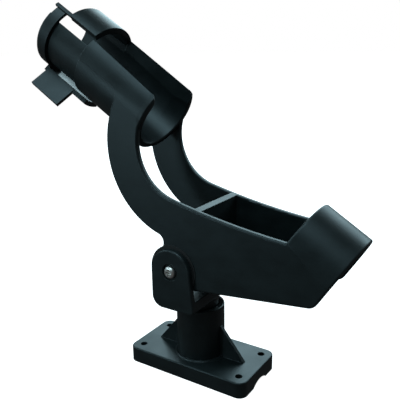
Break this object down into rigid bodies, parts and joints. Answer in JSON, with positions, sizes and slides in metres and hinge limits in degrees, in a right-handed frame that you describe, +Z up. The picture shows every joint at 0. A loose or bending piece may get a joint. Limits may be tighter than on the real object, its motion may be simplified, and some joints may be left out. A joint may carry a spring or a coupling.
{
  "type": "rod holder",
  "caption": "Adjustable fishing rod holder: slotted tube with locking ring, curved arms and butt box on a tilting yoke that swivels in a flat base.",
  "frame": {"origin": "centre of the base plate's underside, between the four mounting holes", "axes": "+X along the base plate towards the butt box and hood, +Y across the holder to the nut side, +Z up"},
  "size_m": [0.2719, 0.0747, 0.2838],
  "materials": {
    "base_plastic": "fine moulded texture, satin",
    "yoke_plastic": "fine moulded texture, satin",
    "cradle_plastic": "fine moulded texture, satin",
    "ring_plastic": "fine moulded texture, satin",
    "disc_plastic": "fine moulded texture, satin",
    "screw_steel": "bright stainless",
    "nut_steel": "stainless",
    "washer_steel": "stainless",
    "collar_nylon": "natural nylon"
  },
  "bodies": {
    "base": {"base_plate": "base_plastic"},
    "yoke": {"yoke": "yoke_plastic", "pivot_screw": "screw_steel", "pivot_nut": "nut_steel", "pivot_nut_collar": "collar_nylon", "stem_screw": "screw_steel", "stem_washer": "washer_steel", "stem_lock_washer": "washer_steel"},
    "cradle": {"cradle": "cradle_plastic", "friction_discs": "disc_plastic"},
    "ring": {"locking_ring": "ring_plastic"}
  },
  "joints": [
    {"name": "swivel", "type": "hinge", "parent": "base", "child": "yoke", "pos_m": [0, 0, 0.03], "axis": [0, 0, 1], "continuous": true},
    {"name": "tilt", "type": "hinge", "parent": "yoke", "child": "cradle", "pos_m": [-0.0044, 0, 0.0905], "axis": [0, 1, 0], "range_deg": [-60, 20]},
    {"name": "ring_turn", "type": "hinge", "parent": "cradle", "child": "ring", "pos_m": [-0.033, 0, 0.2021], "axis": [0.8462, 0, -0.5329], "range_deg": [0, 126]}
  ]
}
